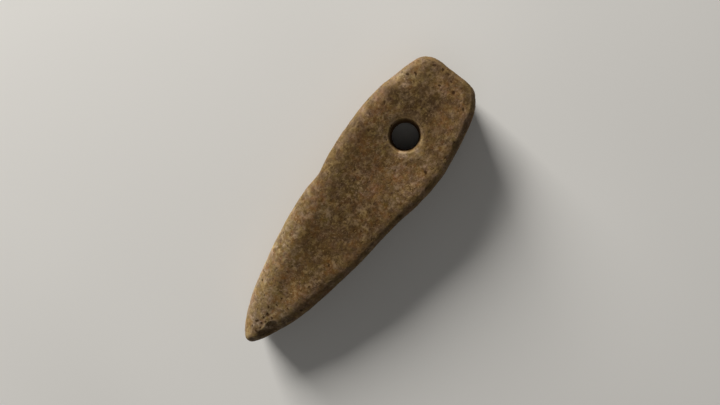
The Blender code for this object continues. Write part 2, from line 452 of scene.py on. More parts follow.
@dataclass
class AxeHead:
    """The stone head: sizes, form, weathering and mesh.

    The first three sizes come from the frame's box. The form's other sizes repeat the CAD
    solid's, and wear holds the fine relief that only the skin has. Shoulder, lip and foot
    sizes are a width and a depth. Outline points are a share of the length and of the half
    width, with the left side negative.
    """

    length: float
    width: float
    thickness: float
    # Falls of the top face to both ends, lift of the underside, and the top's hollow.
    butt_drop: float = 0.0045
    edge_drop: float = 0.0085
    edge_lift: float = 0.0035
    edge_lift_run: float = 0.060
    top_dish: float = 0.0007
    # The shaft hole.
    hole_from_butt: float = 0.0525
    hole_side_offset: float = -0.0007
    bore_waist: float = 0.0185
    bore_mouth: float = 0.0205
    bore_lip: Pair = (0.0030, 0.0022)
    # Worn shoulders, the wall and the foot.
    left_at_hole: Pair = (0.0078, 0.0046)
    left_at_blade: Pair = (0.0170, 0.0092)
    right_at_hole: Pair = (0.0070, 0.0052)
    right_at_blade: Pair = (0.0112, 0.0092)
    butt_shoulder: Pair = (0.0034, 0.0034)
    edge_shoulder: Pair = (0.0076, 0.0070)
    shoulder_power: float = 1.6
    blade_from_edge: float = 0.060
    right_growth_from_edge: Pair = (0.100, 0.055)
    foot_round: Pair = (0.0050, 0.0042)
    wall_fullness: float = 0.0007
    shoulder_share_max: float = 0.78
    spine_from_butt: float = 0.036
    spine_from_edge: float = 0.020
    # Steps of the grids, how near the faces' rings come to the spine, and the skin's face size.
    steps_per_span: int = 8
    face_steps: int = 12
    face_reach: float = 0.96
    wall_steps: int = 20
    shoulder_steps: int = 14
    foot_steps: int = 8
    lip_steps: int = 8
    bore_sides: int = 96
    voxel: float = 0.00076
    # Plan outline: the butt's end, the right side, the nose and the left side.
    poll: tuple[Pair, ...] = ((0.0020, -0.14), (0.0022, 0.11), (0.0034, 0.32))
    right_side: tuple[Pair, ...] = (
        (0.0090, 0.475), (0.0230, 0.588), (0.0440, 0.688), (0.0710, 0.772), (0.1170, 0.850),
        (0.1750, 0.927), (0.2330, 0.988), (0.2900, 1.000), (0.3500, 0.962), (0.4170, 0.898),
        (0.4750, 0.850), (0.5830, 0.796), (0.6750, 0.721), (0.7670, 0.635), (0.8460, 0.519),
        (0.9080, 0.380), (0.9540, 0.254), (0.9810, 0.152), (0.9962, 0.062),
    )
    nose: Pair = (1.0, -0.027)
    left_side: tuple[Pair, ...] = (
        (0.0017, -0.363), (0.0075, -0.525), (0.0188, -0.640), (0.0333, -0.710),
        (0.0580, -0.772), (0.1000, -0.848), (0.1500, -0.940), (0.2080, -0.993),
        (0.2750, -1.000), (0.3500, -0.985), (0.4080, -0.948), (0.4540, -0.898),
        (0.5080, -0.922), (0.5830, -0.896), (0.6750, -0.817), (0.7670, -0.706),
        (0.8460, -0.585), (0.9080, -0.454), (0.9540, -0.324), (0.9810, -0.220),
        (0.9962, -0.116),
    )
    chips: tuple[Chip, ...] = (
        Chip((0.058, -0.620, 0.0), (0.0, -0.05, 1.0), 0.060, 0.0007),
        Chip((0.094, 0.752, 0.0025), (-0.20, 0.66, 0.72), 0.060, 0.0006),
        Chip((0.406, 0.811, 0.0016), (0.08, 0.58, 0.81), 0.005, 0.0006),
        Chip((0.932, 0.125, 0.0022), (0.17, 0.64, 0.75), 0.034, 0.0005),
        Chip((0.901, 0.110, 0.0010), (0.10, 0.62, 0.78), 0.0075, 0.0010),
        Chip((0.978, 0.060, 0.0026), (0.50, 0.45, 0.74), 0.030, 0.0008),
    )
    pits: tuple[Pit, ...] = (
        Pit((0.0052, -0.0075), 0.0014), Pit((0.0052, -0.0023), 0.0014),
        Pit((0.0065, -0.0139), 0.0014), Pit((0.0078, 0.0012), 0.0010),
        Pit((0.0120, 0.0073), 0.0014), Pit((0.0170, 0.0183), 0.0014),
        Pit((0.0140, -0.0023), 0.0011), Pit((0.0205, -0.0241), 0.0014),
        Pit((0.0167, -0.0202), 0.0012), Pit((0.0433, -0.0247), 0.0012),
        Pit((0.0635, 0.0248), 0.0013), Pit((0.0645, -0.0215), 0.0012),
        Pit((0.2192, -0.0044), 0.0014), Pit((0.2183, -0.0008), 0.0015),
        Pit((0.2142, -0.0020), 0.0013), Pit((0.2098, -0.0008), 0.0014),
        Pit((0.2102, 0.0028), 0.0014), Pit((0.2212, 0.0008), 0.0012),
        Pit((0.2243, -0.0046), 0.0011), Pit((0.2262, -0.0006), 0.0012),
        Pit((0.2048, -0.0040), 0.0011), Pit((0.2004, 0.0006), 0.0010),
        Pit((0.1942, 0.0002), 0.0011), Pit((0.2004, -0.0110), 0.0010),
        Pit((0.1968, 0.0080), 0.0011), Pit((0.2150, 0.0012), 0.0012),
    )
    # Paler patches: paler tone at the nose and in places on the face and left shoulder. The two at 56
    # and 63 mm on the right of the middle are painted light on the hole's rim on the right and towards
    # the blade, which faces the light.
    pale_and_lit_patches: tuple[Patch, ...] = (
        Patch((0.201, -0.001), 0.022, 0.58), Patch((0.214, -0.005), 0.022, 0.60),
        Patch((0.206, 0.007), 0.014, 0.50), Patch((0.020, -0.024), 0.012, 0.40),
        Patch((0.050, -0.018), 0.009, 0.35), Patch((0.056, 0.0115), 0.006, 0.75),
        Patch((0.0630, 0.0050), 0.005, 0.50), Patch((0.127, -0.013), 0.013, 0.12),
        Patch((0.172, -0.016), 0.016, 0.10), Patch((0.214, -0.001), 0.010, 0.75),
        Patch((0.2080, -0.0110), 0.010, 0.95), Patch((0.2210, -0.0045), 0.007, 0.85),
        Patch((0.0235, -0.0265), 0.0045, 0.90),
    )
    # Warmer, lighter patches of tone on the face. The last four, along the left shoulder from 13 to 57
    # mm, are painted light, for the light that falls on that shoulder.
    warm_and_lit_patches: tuple[Patch, ...] = (
        Patch((0.023, 0.015), 0.020, 0.50), Patch((0.072, 0.018), 0.024, 0.56),
        Patch((0.095, 0.006), 0.017, 0.50), Patch((0.012, -0.001), 0.018, 0.60),
        Patch((0.184, 0.004), 0.022, 0.35), Patch((0.058, 0.023), 0.018, 0.75),
        Patch((0.217, 0.0005), 0.009, 0.50), Patch((0.205, -0.002), 0.012, 0.15),
        Patch((0.0130, -0.0210), 0.007, 0.40), Patch((0.0270, -0.0255), 0.008, 0.65),
        Patch((0.0420, -0.0270), 0.009, 0.50), Patch((0.0570, -0.0290), 0.008, 0.40),
    )
    # Darker patches. Painted shade: the two at 41.5 and 46 mm from the butt, on the hole's rim towards
    # the butt, which faces away from the light; those at 208, 224 and 238 mm on the right of the nose,
    # on its bevel and end, which face away from the light; and the three from 56 to 78 mm on the right
    # shoulder beside the hole. The three at the butt's end and the three from 10 to 27 mm on the right
    # only darken those places, and the rest darken the face and the left shoulder in patches.
    umber_and_shade_patches: tuple[Patch, ...] = (
        Patch((0.034, -0.007), 0.032, 1.00), Patch((0.062, -0.029), 0.018, 0.50),
        Patch((0.120, 0.006), 0.024, 0.75), Patch((0.104, -0.018), 0.018, 0.45),
        Patch((0.148, -0.002), 0.026, 0.60), Patch((0.098, -0.028), 0.018, 0.55),
        Patch((0.080, -0.026), 0.012, 0.45), Patch((0.0415, -0.0050), 0.007, 1.00),
        Patch((0.0460, -0.0120), 0.005, 0.90), Patch((0.064, -0.022), 0.010, 0.60),
        Patch((0.085, -0.009), 0.010, 0.50), Patch((0.2335, -0.0015), 0.004, 0.90),
        Patch((0.0010, -0.0110), 0.008, 0.90), Patch((0.0010, 0.0000), 0.008, 0.90),
        Patch((0.0025, 0.0120), 0.008, 0.90), Patch((0.2380, 0.0010), 0.007, 1.00),
        Patch((0.2240, 0.0070), 0.009, 0.80), Patch((0.2080, 0.0120), 0.009, 0.90),
        Patch((0.0560, 0.0305), 0.008, 1.00), Patch((0.0670, 0.0300), 0.007, 0.90),
        Patch((0.0780, 0.0290), 0.007, 0.60), Patch((0.0100, 0.0165), 0.006, 0.60),
        Patch((0.0180, 0.0205), 0.006, 0.60), Patch((0.0270, 0.0245), 0.006, 0.60),
    )
    wear: Wear = Wear()
    seed: int = 41
    masks: dict[Mask, Floats] = field(default_factory=dict)

    def top_height(self, x: Floats) -> Floats:
        """Height of the top face: highest at the hole, falling as a parabola to each end.

        Args:
            x: Distance from the butt.

        Returns:
            The heights above the floor.
        """
        past_hole = self.length - self.hole_from_butt
        to_butt = np.clip((self.hole_from_butt - x) / self.hole_from_butt, 0.0, 1.0)
        to_edge = np.clip((x - self.hole_from_butt) / past_hole, 0.0, 1.0)
        return self.thickness - self.butt_drop * to_butt**2 - self.edge_drop * to_edge**2

    def foot_height(self, x: Floats) -> Floats:
        """Height of the underside: flat, and lifting as a parabola near the cutting edge."""
        start = self.length - self.edge_lift_run
        return self.edge_lift * np.clip((x - start) / self.edge_lift_run, 0.0, 1.0) ** 2

    def outline(self) -> Floats:
        """Plan outline as a closed centripetal spline through the outline's points.

        Returns:
            Rows of distance from the butt and distance from the middle line.
        """
        shares = self.poll + self.right_side + (self.nose,) + self.left_side[::-1]
        start = np.array(shares)[::-1] * (self.length, self.width / 2)
        before, end, after = (np.roll(start, shift, axis=0) for shift in (1, -1, -2))
        first, middle, last = (
            np.sqrt(np.linalg.norm(b - a, axis=1))[:, None]
            for a, b in ((before, start), (start, end), (end, after))
        )
        leave = end - start + middle * ((start - before) / first - (end - before) / (first + middle))
        arrive = end - start + middle * ((after - end) / last - (after - start) / (middle + last))
        t = (np.arange(self.steps_per_span) / self.steps_per_span)[None, :, None]
        curve = (
            (2 * t**3 - 3 * t**2 + 1) * start[:, None] + (t**3 - 2 * t**2 + t) * leave[:, None]
            + (3 * t**2 - 2 * t**3) * end[:, None] + (t**3 - t**2) * arrive[:, None]
        ).reshape(-1, 2)
        low, high = curve.min(axis=0), curve.max(axis=0)
        return (curve - low) / (high - low) * (self.length, self.width) - (0.0, self.width / 2)

    def shoulder(self, outline: Floats) -> tuple[Floats, Floats]:
        """Width and depth of the worn shoulder at each outline point.

        The left sizes grow smoothly from the hole to the blade, and the right ones between the
        two distances of right_growth_from_edge. Left, right, butt and edge are then mixed by
        the squares of the outline's outward direction.

        Args:
            outline: Rows of distance from the butt and from the middle line.

        Returns:
            The widths and the depths.
        """
        tangent = np.roll(outline, -1, axis=0) - np.roll(outline, 1, axis=0)
        tangent /= np.linalg.norm(tangent, axis=1)[:, None]
        facing_x, facing_y = tangent[:, 1], -tangent[:, 0]
        start, end = (self.length - reach for reach in self.right_growth_from_edge)
        left = smoothstep(self.hole_from_butt, self.length - self.blade_from_edge, outline[:, 0])
        right = smoothstep(start, end, outline[:, 0])
        sizes = [
            (left_hole + left * (left_blade - left_hole)) * np.clip(-facing_y, 0, 1) ** 2
            + (right_hole + right * (right_blade - right_hole)) * np.clip(facing_y, 0, 1) ** 2
            + butt * np.clip(-facing_x, 0, 1) ** 2 + edge * np.clip(facing_x, 0, 1) ** 2
            for left_hole, left_blade, right_hole, right_blade, butt, edge in zip(
                self.left_at_hole, self.left_at_blade, self.right_at_hole, self.right_at_blade,
                self.butt_shoulder, self.edge_shoulder,
            )
        ]
        return sizes[0], sizes[1]

    def form_grid(self) -> Floats:
        """Grid of the head's form: one parameter runs round the outline, one up the profile.

        Each row of the profile is the outline moved inwards by an inset and set to a height:
        the flat underside, a quarter ellipse at the foot, a wall that is fullest half way up,
        a quarter of a superellipse at the shoulder, and the top face, which is dished by
        t (2 - t) of its full dish at share t of the way in to the spine.

        Returns:
            Places by profile step, outline step and axis.
        """
        outline = self.outline()
        spine_x = np.clip(outline[:, 0], self.spine_from_butt, self.length - self.spine_from_edge)
        towards = np.column_stack((spine_x, np.zeros(len(outline)))) - outline
        reach = np.linalg.norm(towards, axis=1)
        inward = towards / reach[:, None]
        width, depth = self.shoulder(outline)
        room = self.shoulder_share_max * reach - self.wall_fullness
        foot_in, up = self.foot_round
        over, under = np.minimum(width, room), np.minimum(foot_in, room)
        low = self.foot_height(outline[:, 0]) + up
        high = self.top_height(outline[:, 0]) - depth

        def across(inset: Floats) -> Floats:
            """Distance from the butt of the outline moved inwards by the inset."""
            return outline[:, 0] + inward[:, 0] * inset

        rows = []
        shares = np.linspace(0.0, self.face_reach, self.face_steps + 1)[1:]
        for share in shares[::-1]:
            inset = self.wall_fullness + under + share * (reach - self.wall_fullness - under)
            rows.append((inset, self.foot_height(across(inset))))
        for turn in np.linspace(math.pi / 2, 0.0, self.foot_steps + 1):
            inset = self.wall_fullness + under * (1 - math.cos(turn))
            rows.append((inset, self.foot_height(across(inset)) + up * (1 - math.sin(turn))))
        for share in np.linspace(0.0, 1.0, self.wall_steps + 1)[1:-1]:
            inset = np.full(len(outline), self.wall_fullness * (2 * share - 1) ** 2)
            rows.append((inset, low + share * (high - low)))
        power = 2 / self.shoulder_power
        for turn in np.linspace(0.0, math.pi / 2, self.shoulder_steps + 1):
            inset = self.wall_fullness + over * (1 - abs(math.cos(turn)) ** power)
            drop = depth * (1 - math.sin(turn) ** power)
            rows.append((inset, self.top_height(across(inset)) - drop))
        for share in shares:
            inset = self.wall_fullness + over + share * (reach - self.wall_fullness - over)
            dish = self.top_dish * share * (2 - share)
            rows.append((inset, self.top_height(across(inset)) - dish))
        grid = np.stack([
            np.column_stack((outline + inward * inset[:, None], height)) for inset, height in rows
        ])
        return grid - (self.length / 2, 0.0, 0.0)

    def bore_grid(self) -> Floats:
        """Grid of the hole's cutter: a worn lip, a cone to the waist, and the same again below.

        The lip is a quarter ellipse: at turn t it is w (1 - cos t) wider than the mouth and
        d (1 - sin t) below the top face.

        Returns:
            Places by profile step, turn step and axis.
        """
        mouth, waist = self.bore_mouth / 2, self.bore_waist / 2
        wide, deep = self.bore_lip
        top = float(self.top_height(np.array(self.hole_from_butt))) - self.top_dish
        turns = np.linspace(math.pi / 2, 0.0, self.lip_steps + 1)
        flare = np.column_stack((mouth + wide * (1 - np.cos(turns)), top - deep * (1 - np.sin(turns))))
        upper = np.vstack(((mouth + wide, top + deep), flare))
        lower = upper[::-1] * (1, -1) + (0, top)
        profile = np.vstack((upper, (waist, top / 2), lower))
        around = np.linspace(0.0, 2 * math.pi, self.bore_sides, endpoint=False)
        ring = np.column_stack((np.cos(around), np.sin(around)))
        places = profile[:, None, :1] * ring[None]
        heights = np.broadcast_to(profile[:, None, 1:], (*places.shape[:2], 1))
        middle = (self.hole_from_butt - self.length / 2, self.hole_side_offset, 0.0)
        return np.concatenate((places, heights), axis=2) + middle

    def blank(self) -> Skin:
        """Make the even skin of the head, with its hole bored.

        Each easing moves a point towards the mean of its neighbours, taken many times: a
        little everywhere, fully where the skin looks straight up or down, and on top of the
        nose, which is worn round.

        Returns:
            The skin before any other wear.
        """
        wear = self.wear
        head = closed_tube("blank", self.form_grid())
        bore = closed_tube("bore", self.bore_grid()[::-1])
        cut = head.modifiers.new("bore", "BOOLEAN")
        cut.operation = "DIFFERENCE"
        cut.solver = "EXACT"
        cut.object = bore
        even = head.modifiers.new("even", "REMESH")
        even.mode = "VOXEL"
        even.voxel_size = self.voxel
        skin = Skin.from_object(head)
        for helper in (head, bore):
            bpy.data.objects.remove(helper, do_unlink=True)
        skin.points = skin.averaged(skin.points, wear.first_rounds)
        level = smoothstep(*wear.level_limits, np.abs(skin.normals()[:, 2]))[:, None]
        skin.points += level * (skin.averaged(skin.points, wear.level_rounds) - skin.points)
        start, end = (self.length - reach for reach in wear.nose_limits_from_edge)
        nose = smoothstep(start, end, self.along(skin))
        nose = nose * smoothstep(*wear.nose_upward_limits, skin.normals()[:, 2])
        skin.points += nose[:, None] * (skin.averaged(skin.points, wear.nose_rounds) - skin.points)
        return skin

    def along(self, skin: Skin) -> Floats:
        """Distance of each point of the skin from the butt."""
        return skin.points[:, 0] + self.length / 2

    def rough_hew(self, skin: Skin) -> None:
        """Leave the slow swells of hand grinding and the dents of pecking.

        Swells are layered noise of two sizes. Dents are overlapping bowls of two sizes, deeper
        at the butt than on the ground blade, and the larger ones are deepest on the wall.

        Args:
            skin: The head's skin, changed in place.
        """
        wear, points = self.wear, skin.points
        ground = smoothstep(*wear.ground_limits, self.along(skin))
        wall = 1 - np.abs(skin.normals()[:, 2])
        broad = layered_noise(points, wear.broad_swell_size, self.seed + Pattern.BROAD_SWELL, layers=2)
        close = layered_noise(points, wear.close_swell_size, self.seed + Pattern.CLOSE_SWELL, layers=2)
        swells = wear.broad_swell_height * broad + wear.close_swell_height * close
        bent = points + wear.dent_drift * self.drift(points, wear.dent_drift_size)
        dents = dent_noise(bent, wear.dent_spacing, self.seed + Pattern.DENT)
        small = dent_noise(points, wear.small_dent_spacing, self.seed + Pattern.SMALL_DENT)
        depth = wear.dent_depth - wear.dent_ground_off * ground + wear.dent_wall_more * wall
        small_depth = wear.small_dent_depth - wear.small_dent_ground_off * ground
        pecked = depth * (dents - wear.dent_mean) + small_depth * (small - wear.dent_mean)
        skin.push(swells + pecked)

    def drift(self, points: Floats, wavelength: float) -> Floats:
        """Three smooth noises as a displacement, to bend another pattern out of true."""
        seeds = [self.seed + Pattern.DRIFT + axis for axis in range(3)]
        return np.stack([slope_noise(points, wavelength, seed) for seed in seeds], axis=1)

    def strike_chips(self, skin: Skin) -> None:
        """Scoop out the old chips: points inside a bowl's ball move straight out to the ball.

        The ball's radius wavers a little and carries faint ripples, as a struck flake leaves.
        The rim is worn: within a rim width r of it, a point that is a inside the ball moves by
        (a + r)^2 / 4r.

        Args:
            skin: The head's skin, changed in place.
        """
        wear = self.wear
        struck = np.zeros(len(skin.points))
        for number, chip in enumerate(self.chips):
            seed = self.seed + Pattern.CHIP + wear.chip_seed_step * number
            share, aside, below = chip.place
            height = float(self.top_height(np.array(share * self.length))) - below
            spot = np.array(((share - 0.5) * self.length, aside * self.width / 2, height))
            facing = np.array(chip.facing) / np.linalg.norm(chip.facing)
            offset = skin.points - (spot + facing * (chip.radius - chip.depth))
            distance = np.linalg.norm(offset, axis=1)
            waver = layered_noise(skin.points, wear.chip_waver_size, seed, layers=2)
            ripple = np.sin(distance_from_axis(skin.points - spot, facing) / wear.chip_ripple_size)
            radius = chip.radius + chip.depth * (wear.chip_waver * waver + wear.chip_ripple * ripple)
            depth = radius - distance
            worn = np.clip(depth + wear.chip_rim, 0.0, None) ** 2 / (4 * wear.chip_rim)
            push = np.where(np.abs(depth) < wear.chip_rim, worn, np.maximum(depth, 0.0))
            skin.points = skin.points + offset * (push / distance)[:, None]
            struck = np.maximum(struck, smoothstep(*wear.struck_limits, depth))
        self.masks[Mask.STRUCK] = struck

    def sink_pits(self, skin: Skin) -> None:
        """Sink the pits: each is (1 - (d / s)^2)^2 of its full depth at distance d.

        The spread s is a little more than the pit's radius. Distances are measured between
        bent places, so that the rims aren't round.

        Args:
            skin: The head's skin, changed in place.
        """
        wear = self.wear
        draw = np.random.default_rng(self.seed)
        top = np.flatnonzero(skin.normals()[:, 2] > wear.top_face_upward)
        level = skin.points[top, :2] + (self.length / 2, 0.0)
        middles = [top[np.argmin(np.sum((level - pit.middle) ** 2, axis=1))] for pit in self.pits]
        middles.extend(draw.integers(0, len(skin.points), wear.pits_all_over))
        radii = [pit.radius for pit in self.pits]
        radii.extend(draw.uniform(*wear.pit_radius, wear.pits_all_over))
        depth = np.zeros(len(skin.points))
        pitted = np.zeros(len(skin.points))
        bent = skin.points + wear.pit_drift * self.drift(skin.points, wear.pit_drift_size)
        for middle, radius in zip(middles, radii):
            near = np.sum((bent - bent[middle]) ** 2, axis=1) / (wear.pit_spread * radius) ** 2
            bowl = np.clip(1 - near, 0.0, 1.0) ** 2
            depth = np.maximum(depth, wear.pit_depth * radius * bowl)
            pitted = np.maximum(pitted, bowl)
        skin.push(-depth)
        self.masks[Mask.PITTED] = pitted

    def wear_edges(self, skin: Skin) -> None:
        """Rub down and nick the edges: where the skin stands proud, noise takes a little away.

        Args:
            skin: The head's skin, changed in place.
        """
        wear = self.wear
        edge = smoothstep(*wear.edge_limits, skin.proud(wear.edge_rounds))
        noise = layered_noise(skin.points, wear.nick_size, self.seed + Pattern.NICK)
        nicks = smoothstep(*wear.nick_limits, noise)
        skin.push(-wear.nick_depth * edge * nicks)
        self.masks[Mask.WORN] = edge * (1 - wear.nick_share_unworn * nicks)

    def settle(self, skin: Skin) -> None:
        """Keep the underside flat, so that the head lies on it: nothing goes below the floor.

        Args:
            skin: The head's skin, changed in place.
        """
        skin.points[:, 2] = np.maximum(skin.points[:, 2], 0.0)

    def tone_patches(self, skin: Skin, patches: tuple[Patch, ...]) -> Floats:
        """Mask of round patches, with outlines that noise bends, on what looks upwards.

        Args:
            skin: The weathered skin.
            patches: Patches of one tone.

        Returns:
            Values from 0 to 1.
        """
        wear = self.wear
        bend = self.drift(skin.points, wear.patch_bend_size)[:, :2]
        upward = smoothstep(*wear.patch_upward_limits, skin.normals()[:, 2])
        tone = np.zeros(len(skin.points))
        for patch in patches:
            middle = (patch.middle[0] - self.length / 2, patch.middle[1])
            offset = skin.points[:, :2] + wear.patch_bend * patch.radius * bend - middle
            gap = np.linalg.norm(offset, axis=1) / patch.radius
            tone = np.maximum(tone, patch.strength * smoothstep(0.0, 1.0, 1 - gap))
        return tone * upward

    def lit_and_rubbed_flank(self, skin: Skin) -> Floats:
        """Mask of the left shoulder, which faces the light: rubbed pale and painted light, most of
        all near the cutting edge.

        Args:
            skin: The weathered skin.

        Returns:
            Values from 0 to 1: how far the shoulder leans left, faded towards the butt.
        """
        wear = self.wear
        facing = skin.averaged(skin.normals(), wear.flank_rounds)
        leaning = smoothstep(*wear.flank_leftward_limits, -facing[:, 1])
        leaning = leaning * smoothstep(*wear.flank_upward_limits, facing[:, 2])
        bend = slope_noise(skin.points, wear.flank_bend_size, self.seed + Pattern.FLANK)
        towards_edge = smoothstep(*wear.flank_limits, self.along(skin) + wear.flank_bend * bend)
        return leaning * (wear.flank_share_at_butt + (1 - wear.flank_share_at_butt) * towards_edge)

    def build(self) -> bpy.types.Object:
        """Make the weathered head.

        Returns:
            The finished object, at the origin and unscaled.
        """
        skin = self.blank()
        self.rough_hew(skin)
        self.strike_chips(skin)
        self.wear_edges(skin)
        self.sink_pits(skin)
        self.settle(skin)
        self.masks[Mask.RELIEF] = 0.5 + skin.proud(self.wear.relief_rounds) / self.wear.relief_span
        # Patches of tone, some of them painted light and some painted shade, and the left flank,
        # rubbed pale and painted light where the light falls on it.
        patches = self.tone_patches(skin, self.pale_and_lit_patches)
        self.masks[Mask.PALE_AND_LIT] = np.maximum(patches, self.lit_and_rubbed_flank(skin))
        # Warm patches: warmer tone, and painted light on the left shoulder near the butt.
        self.masks[Mask.WARM_AND_LIT] = self.tone_patches(skin, self.warm_and_lit_patches)
        # Umber patches: dark tone, and painted shade on the hole's shaded rim, the nose's right bevel
        # and the right shoulder by the hole.
        self.masks[Mask.UMBER_AND_SHADE] = self.tone_patches(skin, self.umber_and_shade_patches)
        log.info("head: %d points, %d triangles", len(skin.points), 2 * len(skin.faces))
        return skin.to_object("weathered_axe_head", self.masks)


def distance_from_axis(offsets: Floats, facing: Floats) -> Floats:
    """Distance of each offset from the axis that points along facing."""
    return np.linalg.norm(offsets - np.outer(offsets @ facing, facing), axis=1)


def closed_tube(name: str, grid: Floats) -> bpy.types.Object:
    """Object from a grid of rings, joined side by side and capped at both ends.

    Args:
        name: Name of the object.
        grid: Places by ring, step round the ring, and axis. The rings run anticlockwise seen
            from the last ring's side.

    Returns:
        The object, linked to the scene.
    """
    rings, steps = grid.shape[:2]
    here = np.arange(steps)
    after = np.roll(here, -1)
    base = (np.arange(rings - 1) * steps)[:, None]
    quads = np.stack((base + here, base + after, base + steps + after, base + steps + here), axis=-1)
    faces = quads.reshape(-1, 4).tolist()
    faces.append(here[::-1].tolist())
    faces.append((here + (rings - 1) * steps).tolist())
    mesh = bpy.data.meshes.new(name)
    mesh.from_pydata(grid.reshape(-1, 3), [], faces)
    piece = bpy.data.objects.new(name, mesh)
    bpy.context.scene.collection.objects.link(piece)
    return piece


@dataclass(frozen=True)
class Noise:
    """Smooth noise in a material, around 0.5.

    Attributes:
        size: Size of its broadest forms.
        detail: How many finer noises are added.
        rough: Strength of each finer noise against the one before.
        bend: How far the noise bends itself.
    """

    size: float
    detail: float = 2.0
    rough: float = 0.5
    bend: float = 0.0


@dataclass(frozen=True)
class Cloud:
    """Clouds made of a noise: nothing below one value of it, and full above another.

    Attributes:
        noise: The noise.
        low: Noise value where the clouds start.
        high: Noise value where they are full.
        strength: Value of a full cloud.
    """

    noise: Noise
    low: float
    high: float
    strength: float = 1.0


class Graph:
    """Node tree of one material, with one method for every kind of node."""

    def __init__(self, name: str) -> None:
        """Start an empty material.

        Args:
            name: Name of the material.
        """
        self.material = bpy.data.materials.new(name)
        self.material.use_nodes = True
        self.tree = self.material.node_tree
        self.tree.nodes.clear()

    def node(self, kind: str, settings: dict[str, Any] | None = None, **inputs: Any) -> bpy.types.Node:
        """Add one node.

        Args:
            kind: Blender's type of the node.
            settings: Properties that are set before any input.
            **inputs: A plain value or a Link for each input, named by its identifier with
                underscores for spaces.

        Returns:
            The node.
        """
        made = self.tree.nodes.new(kind)
        for key, value in (settings or {}).items():
            setattr(made, key, value)
        sockets = {socket.identifier.replace(" ", "_"): socket for socket in made.inputs}
        for key, value in inputs.items():
            if isinstance(value, Link):
                self.tree.links.new(value.socket, sockets[key])
            else:
                sockets[key].default_value = value
        return made

    def link(self, node: bpy.types.Node, output: str | int = 0) -> "Link":
        """Wrap one output of a node, by its name or number."""
        return Link(self, node.outputs[output])

    def math(self, operation: Operation, first: "Link | float", second: "Link | float") -> "Link":
        """Add a Math node for one operation on two links or numbers."""
        settings = {"operation": operation.value}
        return self.link(self.node("ShaderNodeMath", settings, Value=first, Value_001=second))

    def mix(
        self,
        factor: "Link | float",
        first: "Link | Colour",
        second: "Link | Colour",
        blend: Blend = Blend.MIX,
    ) -> "Link":
        """Lay one colour over another.

        Args:
            factor: Share of the second colour, held between 0 and 1.
            first: Colour underneath.
            second: Colour on top.
            blend: How the second goes over the first.

        Returns:
            The mixed colour.
        """
        made = self.node(
            "ShaderNodeMix", {"data_type": "RGBA", "blend_type": blend.value, "clamp_factor": True},
            Factor_Float=factor, A_Color=first, B_Color=second,
        )
        return Link(self, next(out for out in made.outputs if out.identifier == "Result_Color"))

    def ease(self, value: "Link", low: float, high: float) -> "Link":
        """Rise smoothly between two values.

        Args:
            value: What is measured.
            low: Value where the result leaves 0.
            high: Value where the result reaches 1.

        Returns:
            The eased value.
        """
        made = self.node(
            "ShaderNodeMapRange", {"interpolation_type": "SMOOTHSTEP"},
            Value=value, From_Min=low, From_Max=high,
        )
        return self.link(made)

    def noise(self, place: "Link", noise: Noise) -> "Link":
        """Add a noise.

        Args:
            place: Coordinates that it follows.
            noise: Its size and kind.

        Returns:
            Values around 0.5.
        """
        made = self.node(
            "ShaderNodeTexNoise", {"noise_dimensions": "3D"}, Vector=place, Scale=1 / noise.size,
            Detail=noise.detail, Roughness=noise.rough, Distortion=noise.bend,
        )
        return self.link(made, "Fac")

    def cloud(self, place: "Link", cloud: Cloud) -> "Link":
        """Ease a cloud's noise between its low and high values, times its strength."""
        return self.ease(self.noise(place, cloud.noise), cloud.low, cloud.high) * cloud.strength

    def mask(self, mask: Mask) -> "Link":
        """Read one of the wear masks from the points."""
        made = self.node("ShaderNodeAttribute", {"attribute_name": mask.value})
        return self.link(made, "Fac")


@dataclass
class Link:
    """Output of a node. Sums with it add Math nodes."""

    graph: Graph
    socket: bpy.types.NodeSocket

    def __add__(self, other: "Link | float") -> "Link":
        """Sum."""
        return self.graph.math(Operation.ADD, self, other)

    __radd__ = __add__

    def __mul__(self, other: "Link | float") -> "Link":
        """Product."""
        return self.graph.math(Operation.MULTIPLY, self, other)

    __rmul__ = __mul__

    def __sub__(self, other: "Link | float") -> "Link":
        """Difference."""
        return self.graph.math(Operation.SUBTRACT, self, other)

    def __rsub__(self, other: float) -> "Link":
        """Difference from a number."""
        return self.graph.math(Operation.SUBTRACT, other, self)


